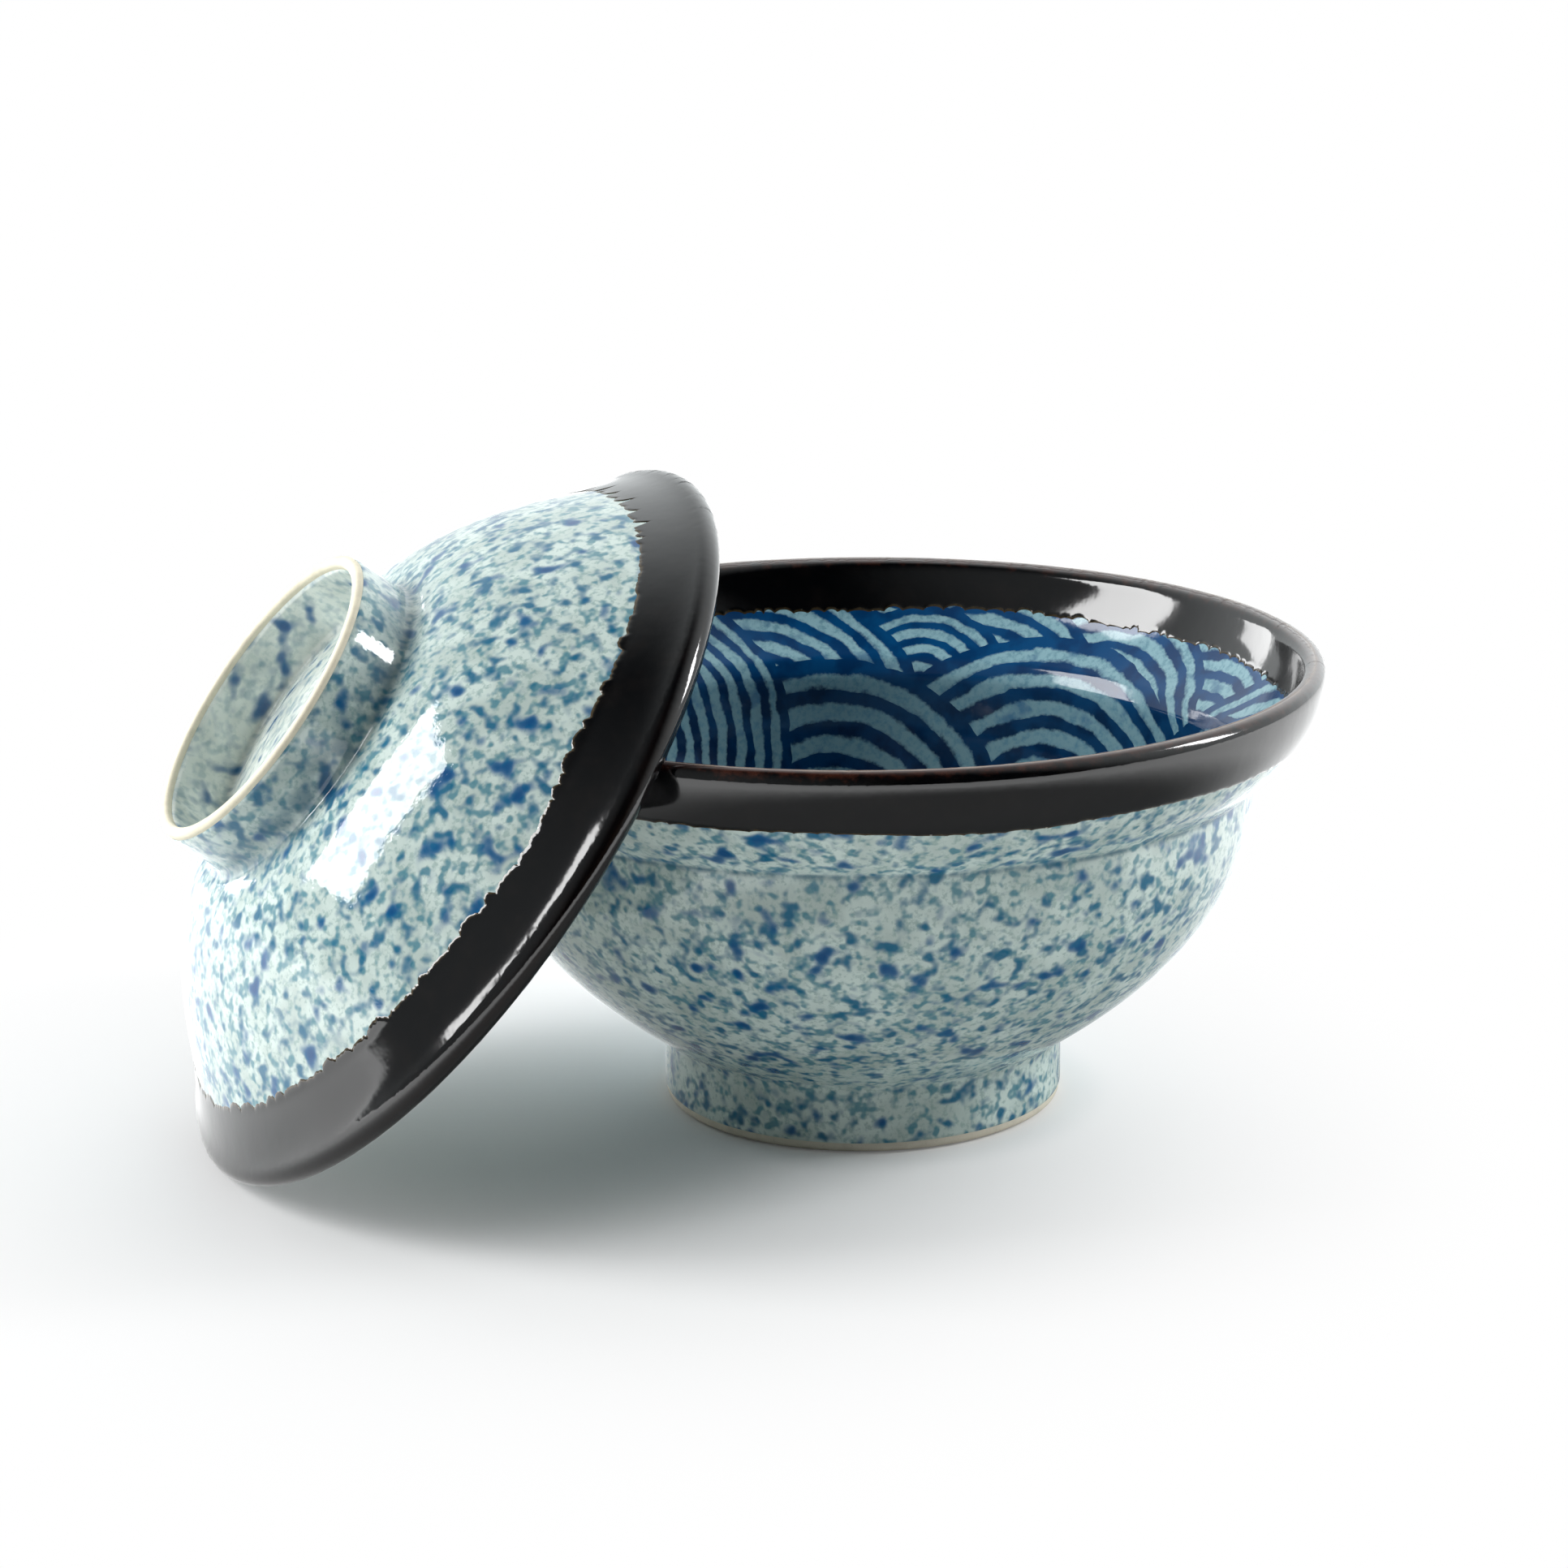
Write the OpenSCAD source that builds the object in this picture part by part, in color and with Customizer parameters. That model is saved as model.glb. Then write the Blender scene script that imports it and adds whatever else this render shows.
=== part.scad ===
// Donburi bowl with its lid. The bowl stands on its foot ring, and the lid
// leans against the bowl's left side with its rim on the table.
// Millimetres, +Z up, origin on the table at the middle of the bowl's foot.
// Every piece is turned about its own axis, as on a potter's wheel.

/* [Bowl] */
// Outside diameter of the bowl's rim
bowl_d = 165; // [156:1:180]
// Height of the bowl from the table to the top of its rim
bowl_h = 81.6; // [78:0.2:88]
// How far the flared brim stands out from the waist, the crease where it starts
flare_out = 11.5; // [9:0.5:14]
// Height of the flared brim, from the waist to the top of the rim
flare_h = 20.6; // [18:0.2:24]
// Thickness of the bowl's wall with its glaze, and of its rounded lip
bowl_wall_t = 4; // [3.4:0.1:5]
// Thickness of the bowl's floor over the foot
bowl_floor_t = 7.5; // [5:0.5:10]

/* [Foot ring] */
// Outside diameter of the foot ring
foot_d = 72.6; // [64:0.2:80]
// Height where the foot ring runs into the bowl's body
foot_h = 12.8; // [12:0.2:16]
// Thickness of the foot ring with its glaze
foot_t = 5.4; // [4.4:0.1:7]
// Depth of the hollow inside the foot ring
foot_recess = 9.4; // [7:0.2:9.6]
// Radius of the hollow curve from the foot ring into the body
foot_fillet = 2.5; // [1.5:0.1:2.8]
// Radius of the foot ring's bottom edges
foot_edge_r = 1.2; // [0.6:0.1:1.6]

/* [Lid] */
// Height of the lid from its rim to the top of its grip ring
lid_h = 43.7; // [41:0.1:48]
// Thickness of the lid's wall with its glaze, and of its rounded edge
lid_wall_t = 5; // [4:0.1:5.6]
// Width of the lid's brim, from the edge to the crease under the dome
brim_w = 8.2; // [6:0.1:11]
// Slope of the lid's brim below level, in degrees
brim_tilt = 38; // [30:1:44]
// How far above the waist the lid's edge rests on the bowl's brim
seat_rise = 2.9; // [2:0.1:6]
// Clearance between the lid's edge and its seat
seat_gap = 0.3; // [0.1:0.05:0.6]

/* [Grip ring] */
// Outside diameter of the grip ring on the lid
grip_d = 57.6; // [50:0.2:64]
// Height of the grip ring above the lid's shoulder, where it meets the dome
grip_h = 11.4; // [9:0.1:13]
// Thickness of the grip ring with its glaze
grip_t = 3; // [2.6:0.1:4]
// Radius of the hollow curve from the grip ring out to the dome
grip_fillet = 1.6; // [1:0.1:2.4]
// Radius of the hollow curve inside the grip ring
grip_inner_fillet = 1.2; // [0.8:0.1:2]
// Radius of the edges of the grip ring's bare lip
grip_edge_r = 0.6; // [0.3:0.1:0.8]

/* [Glaze] */
// Thickness of the fired glaze
coat = 0.4; // [0.3:0.05:0.6]
// Height of the dark glaze band, from the bowl's rim down the flared brim
rim_band = 11.3; // [8:0.1:14]
// Height of the bare clay below the glaze on the foot ring
foot_bare = 1.8; // [1.6:0.1:3]
// Height of the bare clay above the glaze on the grip ring
grip_bare = 1.2; // [0.9:0.1:2]

/* [Leaning lid] */
// Tilt of the leaning lid's axis away from upright, in degrees
lean = 52.2; // [48:0.2:58]
// Clearance between the leaning lid and the bowl's lip
lean_gap = 0.4; // [0.1:0.05:0.6]

/* [Hidden] */
$fn = 96;

// Steps along each stretch of an outline
flare_steps = 8;
body_steps = 12;
well_steps = 14;
round_steps = 8;
dome_steps = 12;

// How quickly each swelling curve fills out
flare_power = 2.15;
body_power = 2.2;
dome_power = 1.7;
// Squareness of the bowl's inside, across and down
well_across = 2.2;
well_down = 2.4;

rim_r = bowl_d / 2;
waist_r = rim_r - flare_out;
waist_z = bowl_h - flare_h;
lip_r = bowl_wall_t / 2;
lip_z = bowl_h - lip_r;
band_z = bowl_h - rim_band;
foot_r = foot_d / 2;
floor_z = foot_recess + bowl_floor_t;
root_turn = atan(body_power * (waist_r - foot_r) / (waist_z - foot_h));
root_z = foot_h - foot_fillet * sin(root_turn);
root_r = foot_r + foot_fillet * (1 - cos(root_turn));

// Points on the bowl's outer side, moved in by depth
function swell(z, z0, z1, r0, r1, power, depth) =
    let (left = max(0, (z1 - z) / (z1 - z0)))
    let (turn = atan(power * (r1 - r0) / (z1 - z0) * pow(left, power - 1)))
    [r0 + (r1 - r0) * (1 - pow(left, power)) - depth * cos(turn), z + depth * sin(turn)];
function flare(z, depth) = swell(z, waist_z, lip_z, waist_r, rim_r, flare_power, depth);
function flare_run(z0, z1, depth) =
    [for (i = [0:flare_steps]) flare(z0 + (z1 - z0) * i / flare_steps, depth)];
function body_run(depth) =
    [for (i = [0:body_steps])
        swell(foot_h + (waist_z - foot_h) * i / body_steps, foot_h, waist_z,
              root_r, waist_r, body_power, depth)];
function root_run(depth) =
    [for (i = [0:round_steps])
        let (turn = root_turn * i / round_steps)
        [foot_r + foot_fillet - (foot_fillet + depth) * cos(turn),
         root_z + (foot_fillet + depth) * sin(turn)]];
function lip_run(depth) =
    [for (i = [0:round_steps])
        let (turn = 180 * i / round_steps)
        [rim_r - lip_r + (lip_r - depth) * cos(turn), lip_z + (lip_r - depth) * sin(turn)]];
// Points on the bowl's inner side from the waist to the middle, moved out by depth
function well_run(depth) =
    [for (i = [0:well_steps])
        let (turn = 90 * i / well_steps)
        [i == well_steps ? 0
            : (waist_r - bowl_wall_t + depth) * pow(cos(turn), 2 / well_across),
         waist_z - (waist_z - floor_z + depth) * pow(sin(turn), 2 / well_down)]];
function back(points) = [for (i = [len(points) - 1:-1:0]) points[i]];

// The lid in its own frame: z is 0 at the middle of its rounded edge
edge_r = lid_wall_t / 2;
lid_r = flare(waist_z + seat_rise, bowl_wall_t + edge_r + seat_gap)[0];
lip_top = lid_h - edge_r;
shoulder_z = lip_top - grip_h;
joint_z = shoulder_z - coat;
grip_r = grip_d / 2;
grip_in_r = grip_r - grip_t;
dome_r = grip_r + grip_fillet;
grip_glaze_z = lip_top - grip_bare;

function brim(share, depth) =
    [lid_r - share * brim_w + (edge_r - depth) * sin(brim_tilt),
     share * brim_w * tan(brim_tilt) + (edge_r - depth) * cos(brim_tilt)];
crease = brim(1, 0);
function edge_run(depth) =
    [for (i = [0:round_steps])
        let (turn = 90 - brim_tilt - 180 * i / round_steps)
        [lid_r + (edge_r - depth) * cos(turn), (edge_r - depth) * sin(turn)]];
// Points on the dome from the grip ring out to the crease, moved in by depth
function dome(r, depth) =
    let (out = max(0, (r - dome_r) / (crease[0] - dome_r)))
    let (rise = shoulder_z - crease[1])
    let (turn = atan(dome_power * rise / (crease[0] - dome_r) * pow(out, dome_power - 1)))
    [r - depth * sin(turn), crease[1] + rise * (1 - pow(out, dome_power)) - depth * cos(turn)];
function dome_run(depth) = concat(
    [for (i = [0:dome_steps - 1]) dome(dome_r + (crease[0] - dome_r) * i / dome_steps, depth)],
    [brim(1, depth)]);
function grip_out_run(depth) =
    [for (i = [0:round_steps])
        let (turn = 90 * i / round_steps)
        [dome_r - (grip_fillet + depth) * sin(turn),
         shoulder_z + grip_fillet - (grip_fillet + depth) * cos(turn)]];
function grip_in_run(depth) =
    [for (i = [0:round_steps])
        let (turn = 90 * i / round_steps)
        [grip_in_r - grip_inner_fillet + (grip_inner_fillet + depth) * sin(turn),
         shoulder_z + grip_inner_fillet - (grip_inner_fillet + depth) * cos(turn)]];
// Quarter circle round [r, z] from one direction to another, in degrees
function corner(r, z, radius, from, to) =
    [for (i = [0:round_steps])
        let (turn = from + (to - from) * i / round_steps)
        [r + radius * cos(turn), z + radius * sin(turn)]];

// The leaning lid's edge touches the table, and its wall the bowl's lip.
// The middle of the lip is a circle, and the clearance is its least distance
// from the middle of the lid's wall, less half of each thickness.
lean_z = lid_r * sin(lean) + edge_r;
wall_line = concat([[lid_r, 0]], back(dome_run(edge_r)));
function side_distance(p, a, b) =
    let (t = max(0, min(1, (p - a) * (b - a) / ((b - a) * (b - a)))))
    norm(p - a - t * (b - a));
function lip_in_lid(turn, x) =
    let (dx = x - (rim_r - lip_r) * cos(turn))
    let (dz = lip_z - lean_z)
    [norm([dx * cos(lean) + dz * sin(lean), (rim_r - lip_r) * sin(turn)]),
     dz * cos(lean) - dx * sin(lean)];
function lean_clearance(x) =
    min([for (turn = [0:1.5:90], i = [0:len(wall_line) - 2])
        side_distance(lip_in_lid(turn, x), wall_line[i], wall_line[i + 1])]) - lip_r - edge_r;
function lean_at(near, far, rounds) =
    let (middle = (near + far) / 2)
    rounds <= 0 ? middle
        : lean_clearance(middle) < lean_gap ? lean_at(middle, far, rounds - 1)
        : lean_at(near, middle, rounds - 1);
// Shares of the rim's radius between which the lid's place is sought
near_share = 0.5;
far_share = 1.6;
// Halvings of the search for that place
lean_rounds = 16;
lean_x = lean_at(rim_r * near_share, rim_r * far_share, lean_rounds);

module turned(points) {
    rotate_extrude() polygon(points);
}

module leaning() {
    translate([-lean_x, 0, lean_z]) rotate([0, -lean, 0]) children();
}

// The clay body of the bowl, from its base to its lip
module bowl_wall() {
    color("#d8d2c4") turned(concat(
        [[0, foot_recess], [foot_r - coat, foot_recess]],
        root_run(coat), body_run(coat),
        flare_run(waist_z, band_z, coat), flare_run(band_z, lip_z, coat), lip_run(coat),
        flare_run(lip_z, band_z, bowl_wall_t - coat),
        flare_run(band_z, waist_z, bowl_wall_t - coat), well_run(coat)));
}

// The clay ring that the bowl stands on, bare at its bottom
module bowl_foot_ring() {
    inner_r = foot_r - foot_t + coat;
    outer_r = foot_r - coat;
    color("#cdbfa8") turned(concat(
        [[inner_r, foot_recess]],
        corner(inner_r + foot_edge_r, foot_edge_r, foot_edge_r, 180, 270),
        corner(outer_r - foot_edge_r, foot_edge_r, foot_edge_r, 270, 360),
        [[outer_r, foot_recess]]));
}

// The dark iron glaze over the bowl's rim, inside and out
module bowl_rim_glaze() {
    color("#17130f") turned(concat(
        flare_run(band_z, lip_z, 0), lip_run(0), flare_run(lip_z, band_z, bowl_wall_t),
        flare_run(band_z, lip_z, bowl_wall_t - coat), back(lip_run(coat)),
        flare_run(lip_z, band_z, coat)));
}

// The blue brushwork and clear glaze inside the bowl
module bowl_inner_glaze() {
    color("#3f6f9f") turned(concat(
        flare_run(band_z, waist_z, bowl_wall_t), well_run(0),
        back(well_run(coat)), flare_run(waist_z, band_z, bowl_wall_t - coat)));
}

// The speckled pale glaze down the bowl's outside and its foot ring
module bowl_outer_glaze() {
    color("#b9c9c4") turned(concat(
        [[foot_r, foot_bare]],
        root_run(0), body_run(0), flare_run(waist_z, band_z, 0),
        flare_run(band_z, waist_z, coat), back(body_run(coat)), back(root_run(coat)),
        [[foot_r - coat, foot_bare]]));
}

// The glaze in the hollow of the foot ring
module bowl_base_glaze() {
    wall_r = foot_r - foot_t;
    color("#c6cfc6") turned([
        [0, foot_recess - coat], [wall_r, foot_recess - coat], [wall_r, foot_bare],
        [wall_r + coat, foot_bare], [wall_r + coat, foot_recess], [0, foot_recess]]);
}

// The clay body of the lid
module lid_dome() {
    color("#d8d2c4") leaning() turned(concat(
        [[0, joint_z]], dome_run(coat), edge_run(coat), back(dome_run(lid_wall_t - coat)),
        [[0, shoulder_z - lid_wall_t + coat]]));
}

// The clay ring that the lid is lifted by, with its bare lip
module lid_grip_ring() {
    inner_r = grip_in_r + coat;
    outer_r = grip_r - coat;
    edge_z = lip_top - grip_edge_r;
    color("#e6dcc3") leaning() turned(concat(
        grip_out_run(coat),
        corner(outer_r - grip_edge_r, edge_z, grip_edge_r, 0, 90),
        corner(inner_r + grip_edge_r, edge_z, grip_edge_r, 90, 180),
        back(grip_in_run(coat))));
}

// The dark iron glaze over the lid's brim, above and below
module lid_rim_glaze() {
    color("#17130f") leaning() turned(concat(
        [crease], edge_run(0), [brim(1, lid_wall_t), brim(1, lid_wall_t - coat)],
        back(edge_run(coat)), [brim(1, coat)]));
}

// The pale glaze inside the lid
module lid_inner_glaze() {
    color("#c3d0cb") leaning() turned(concat(
        back(dome_run(lid_wall_t)), [[0, shoulder_z - lid_wall_t]],
        [[0, shoulder_z - lid_wall_t + coat]], dome_run(lid_wall_t - coat)));
}

// The speckled pale glaze over the dome and up the outside of the grip ring
module lid_outer_glaze() {
    color("#b9c9c4") leaning() turned(concat(
        back(dome_run(0)), grip_out_run(0),
        [[grip_r, grip_glaze_z], [grip_r - coat, grip_glaze_z]],
        back(grip_out_run(coat)), dome_run(coat)));
}

// The speckled glaze in the hollow of the grip ring
module lid_recess_glaze() {
    color("#b9c9c4") leaning() turned(concat(
        [[0, joint_z]], grip_in_run(coat), [[grip_in_r + coat, grip_glaze_z],
        [grip_in_r, grip_glaze_z]], back(grip_in_run(0)), [[0, shoulder_z]]));
}

bowl_wall();
bowl_foot_ring();
bowl_rim_glaze();
bowl_inner_glaze();
bowl_outer_glaze();
bowl_base_glaze();
lid_dome();
lid_grip_ring();
lid_rim_glaze();
lid_inner_glaze();
lid_outer_glaze();
lid_recess_glaze();
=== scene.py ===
import bpy
import numpy as np
from mathutils import Matrix, Vector


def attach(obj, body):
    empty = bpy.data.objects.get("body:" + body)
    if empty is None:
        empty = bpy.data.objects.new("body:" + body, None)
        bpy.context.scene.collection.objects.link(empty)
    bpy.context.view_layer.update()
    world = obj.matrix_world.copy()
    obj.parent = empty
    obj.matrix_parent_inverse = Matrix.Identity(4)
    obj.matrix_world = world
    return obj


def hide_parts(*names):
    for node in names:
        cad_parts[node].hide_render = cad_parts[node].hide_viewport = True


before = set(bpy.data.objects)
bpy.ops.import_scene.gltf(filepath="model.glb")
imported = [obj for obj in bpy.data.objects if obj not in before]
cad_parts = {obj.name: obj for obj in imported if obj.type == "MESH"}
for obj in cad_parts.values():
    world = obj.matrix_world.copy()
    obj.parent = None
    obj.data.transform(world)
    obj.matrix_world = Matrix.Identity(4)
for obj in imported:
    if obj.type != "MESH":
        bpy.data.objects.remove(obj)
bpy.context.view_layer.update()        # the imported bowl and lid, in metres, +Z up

# Camera
# A long lens a little above the table, to the left of the bowl's front, as in the photo.
# Its yaw, pitch and roll are in degrees, its lens and sensor in millimetres.
CAMERA_PLACE = Vector((-0.22306, -0.66842, 0.25075))
CAMERA_YAW, CAMERA_PITCH, CAMERA_ROLL = np.radians((17.323, 15.349, -0.57))
CAMERA_LENS, CAMERA_SENSOR = 93.17, 36

forward = Vector((np.sin(CAMERA_YAW) * np.cos(CAMERA_PITCH),
                  np.cos(CAMERA_YAW) * np.cos(CAMERA_PITCH), -np.sin(CAMERA_PITCH)))
level = Vector((np.cos(CAMERA_YAW), -np.sin(CAMERA_YAW), 0))
above = level.cross(forward)
right = level * np.cos(CAMERA_ROLL) + above * np.sin(CAMERA_ROLL)
up = above * np.cos(CAMERA_ROLL) - level * np.sin(CAMERA_ROLL)
camera = bpy.data.objects.new("camera", bpy.data.cameras.new("camera"))
camera.data.lens = CAMERA_LENS
camera.data.sensor_width = CAMERA_SENSOR
camera.data.clip_start = 0.01
camera.matrix_world = (Matrix.Translation(CAMERA_PLACE)
                       @ Matrix((right, up, -forward)).transposed().to_4x4())
bpy.context.collection.objects.link(camera)
bpy.context.scene.camera = camera

# Clay body of the bowl
# White stoneware clay, thrown or pressed in one piece with its flared brim, and covered
# all over by the glazes that follow. Sizes are in millimetres.
RIM_R = 82.5             # radius of the rim
BOWL_H = 81.6            # table to the top of the rim
WAIST_R, WAIST_Z = 71.0, 61.0
WALL = 4.0               # wall with its glaze
LIP_R = WALL / 2
LIP_Z = BOWL_H - LIP_R
FLARE_POWER, BODY_POWER = 2.15, 2.2
FOOT_R, FOOT_TOP = 36.3, 12.8
FOOT_FILLET = 2.5
FLOOR_Z = 16.9           # top of the bowl's floor inside
WELL_ACROSS, WELL_DOWN = 2.2, 2.4
COAT = 0.4               # thickness of the fired glaze
STEP = 0.35              # spacing of the points along an outline


def swell(z, z0, z1, r0, r1, power, depth=0.0):
    """Radius grows from r0 to r1 by 1 less a power of the height still to climb; the
    point is then moved in by depth along its normal."""
    left = np.clip((z1 - z) / (z1 - z0), 0, 1)
    turn = np.arctan(power * (r1 - r0) / (z1 - z0) * left ** (power - 1))
    radius = r0 + (r1 - r0) * (1 - left ** power)
    return np.stack([radius - depth * np.cos(turn), z + depth * np.sin(turn)], 1)


def flare(z, depth=0.0):
    """The bowl's flared brim at the heights z, from the waist to the lip."""
    return swell(z, WAIST_Z, LIP_Z, WAIST_R, RIM_R, FLARE_POWER, depth)


def arc(r, z, radius, start, end):
    """Points round the middle (r, z), from one direction to the other, in degrees."""
    turn = np.radians(np.linspace(start, end, 40))
    return np.stack([r + radius * np.cos(turn), z + radius * np.sin(turn)], 1)


def even(points, step=STEP):
    """The same polyline with its points evenly spaced along its length."""
    far = np.append(0, np.cumsum(np.hypot(*np.diff(points, axis=0).T)))
    keep = np.append(True, np.diff(far) > 1e-9)
    at = np.linspace(0, far[-1], int(far[-1] / step) + 2)
    return np.stack([np.interp(at, far[keep], points[keep, i]) for i in (0, 1)], 1)


def softened(points, reach=0.7):
    """The polyline with its creases rounded: each point becomes the mean of its
    neighbours, weighted by a bell curve of the given reach; the ends stay."""
    line = even(points, STEP / 2)
    count = int(4 * reach / STEP)
    bell = np.exp(-0.5 * (np.arange(-count, count + 1) * STEP / 2 / reach * 2) ** 2)
    bell /= bell.sum()
    first = 2 * line[0] - line[count:0:-1]
    last = 2 * line[-1] - line[-2:-count - 2:-1]
    wide = np.vstack([first, line, last])
    out = np.stack([np.convolve(wide[:, i], bell, "valid") for i in (0, 1)], 1)
    out[0], out[-1] = line[0], line[-1]
    return even(out)


class Outline:
    """A smooth line in radius and height with its length and its outward normal, which
    is the line's direction turned a quarter to the right."""

    def __init__(self, *runs):
        self.points = softened(np.vstack(runs))
        along = np.gradient(self.points, axis=0)
        along /= np.hypot(*along.T)[:, None]
        self.normal = np.stack([along[:, 1], -along[:, 0]], 1)
        self.far = np.append(0, np.cumsum(np.hypot(*np.diff(self.points, axis=0).T)))
        self.length = self.far[-1]

    def at(self, far, depth):
        """Point at a length along the line, moved inward by depth."""
        r, z = (np.interp(far, self.far, self.points[:, i]) for i in (0, 1))
        nr, nz = (np.interp(far, self.far, self.normal[:, i]) for i in (0, 1))
        return np.maximum(r - depth * nr, 0), z - depth * nz

    def nearest(self, r, z):
        """Length along the line of its point nearest to (r, z)."""
        return self.far[np.argmin(np.hypot(self.points[:, 0] - r, self.points[:, 1] - z))]


flare_z = np.linspace(WAIST_Z, LIP_Z, 60)
root_turn = np.arctan(BODY_POWER * (WAIST_R - FOOT_R) / (WAIST_Z - FOOT_TOP))
root_z = FOOT_TOP - FOOT_FILLET * np.sin(root_turn)
root_r = FOOT_R + FOOT_FILLET * (1 - np.cos(root_turn))
root = arc(FOOT_R + FOOT_FILLET, root_z, FOOT_FILLET, 180, 180 - np.degrees(root_turn))
body = swell(np.linspace(FOOT_TOP, WAIST_Z, 120), FOOT_TOP, WAIST_Z, root_r, WAIST_R,
             BODY_POWER)
well_turn = np.linspace(0, np.pi / 2, 160)
well = np.stack([(WAIST_R - WALL) * np.cos(well_turn) ** (2 / WELL_ACROSS),
                 WAIST_Z - (WAIST_Z - FLOOR_Z) * np.sin(well_turn) ** (2 / WELL_DOWN)], 1)
bowl_line = Outline([[FOOT_R, 0]], root, body, flare(flare_z),
                    arc(RIM_R - LIP_R, LIP_Z, LIP_R, 0, 180), flare(flare_z, WALL)[::-1],
                    well)


class Nodes:
    """The nodes of one material or world, added one at a time and linked."""

    def __init__(self, holder):
        self.holder = holder
        holder.use_nodes = True
        self.tree = holder.node_tree
        self.tree.nodes.clear()

    def add(self, kind, *values, out=None, **named):
        """A node whose sockets take the values in order and the named ones by name; a
        value that is a socket is linked. Returns the node, or its output called out."""
        node = self.tree.nodes.new("ShaderNode" + kind)
        for name, value in named.items():
            if hasattr(node, name):
                setattr(node, name, value)
        named = [(node.inputs[n.replace("_", " ")], v) for n, v in named.items()
                 if not hasattr(node, n)]
        for socket, value in list(zip(node.inputs, values)) + named:
            if isinstance(value, bpy.types.NodeSocket):
                self.tree.links.new(value, socket)
            elif value is not None:
                socket.default_value = value
        return node if out is None else node.outputs[out]

    def math(self, operation, *values):
        """One sum of numbers."""
        return self.add("Math", *values, operation=operation, out=0)

    def distance(self, place, point):
        """How far a place is from a point."""
        return self.add("VectorMath", place, tuple(point), operation="DISTANCE",
                        out="Value")

    def step(self, value, low, high, top=1.0, bottom=0.0):
        """The bottom below low and the top above high, with a soft climb between."""
        return self.add("MapRange", value, low, high, bottom, top,
                        interpolation_type="SMOOTHSTEP", out=0)


class Recipe(Nodes):
    """The nodes of one glaze or clay, with a Principled shader that ends them."""

    def __init__(self, name, **shader):
        super().__init__(bpy.data.materials.new(name))
        self.shader = self.add("BsdfPrincipled", **shader)
        self.add("OutputMaterial", self.shader.outputs[0])

    def place(self, shift=0.0):
        """Millimetres on the piece, moved by shift."""
        return self.add("Mapping", self.add("TexCoord", out="Object"), (shift,) * 3,
                        Scale=(1000, 1000, 1000), out=0)

    def noise(self, place, size, detail=2.0, rough=0.5):
        """Cloudy noise from 0 to 1, whose clouds are about size millimetres across."""
        return self.add("TexNoise", Vector=place, Scale=1 / size, Detail=detail,
                        Roughness=rough, out="Fac")

    def blend(self, share, under, over):
        """One colour laid over another."""
        unused = [None] * 5      # the node's sockets for numbers and vectors
        return self.add("Mix", share, *unused, under, over, data_type="RGBA", out=2)

    def relief(self, height, deep):
        """Small bumps, deep millimetres high."""
        return self.add("Bump", Height=height, Distance=deep / 1000, Strength=1.0,
                        out=0)

    def finish(self, colour, bump, roughness=None):
        """Joins the colour, the bumps and the roughness to the shader."""
        for name, value in (("Base Color", colour), ("Normal", bump),
                            ("Roughness", roughness)):
            if value is not None:
                self.tree.links.new(value, self.shader.inputs[name])
        return self.holder


def paint(red, green, blue):
    """A colour written as 0 to 255 in a picture, made linear."""
    share = np.array((red, green, blue)) / 255
    linear = np.where(share <= 0.04045, share / 12.92, ((share + 0.055) / 1.055) ** 2.4)
    return (*linear, 1.0)


def clay_material(name, colour):
    """Bare fired clay: matt, with fine grains and faint stains."""
    clay = Recipe(name, Roughness=0.62)
    place = clay.place()
    stain = clay.step(clay.noise(place, 3.0, 3), 0.4, 0.7, 0.5)
    grain = clay.noise(place, 0.25, 2, 0.6)
    colour = clay.blend(stain, paint(*colour), paint(*(c * 0.9 for c in colour)))
    colour = clay.blend(clay.step(grain, 0.6, 0.75, 0.3), colour, paint(150, 130, 100))
    return clay.finish(colour, clay.relief(grain, 0.03))


clay = clay_material("bare_clay", (222, 214, 196))
wall_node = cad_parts["bowl_wall"]
wall_node.data.materials.clear()
wall_node.data.materials.append(clay)

# Foot ring
# The clay ring that the bowl stands on, turned with rounded bottom edges. Its lowest
# part is left bare so that it doesn't stick to the kiln shelf.
FOOT_T, FOOT_HOLLOW = 5.4, 9.4
FOOT_EDGE = 1.2          # radius of its bottom edges
FOOT_BARE = 1.8          # height of the bare clay
RING_STEP = 0.3          # spacing of the points of a clay ring's outline
ROUND = 360              # points round a turned piece
SHARP = np.radians(50)   # an edge that turns further isn't shaded smooth


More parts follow.
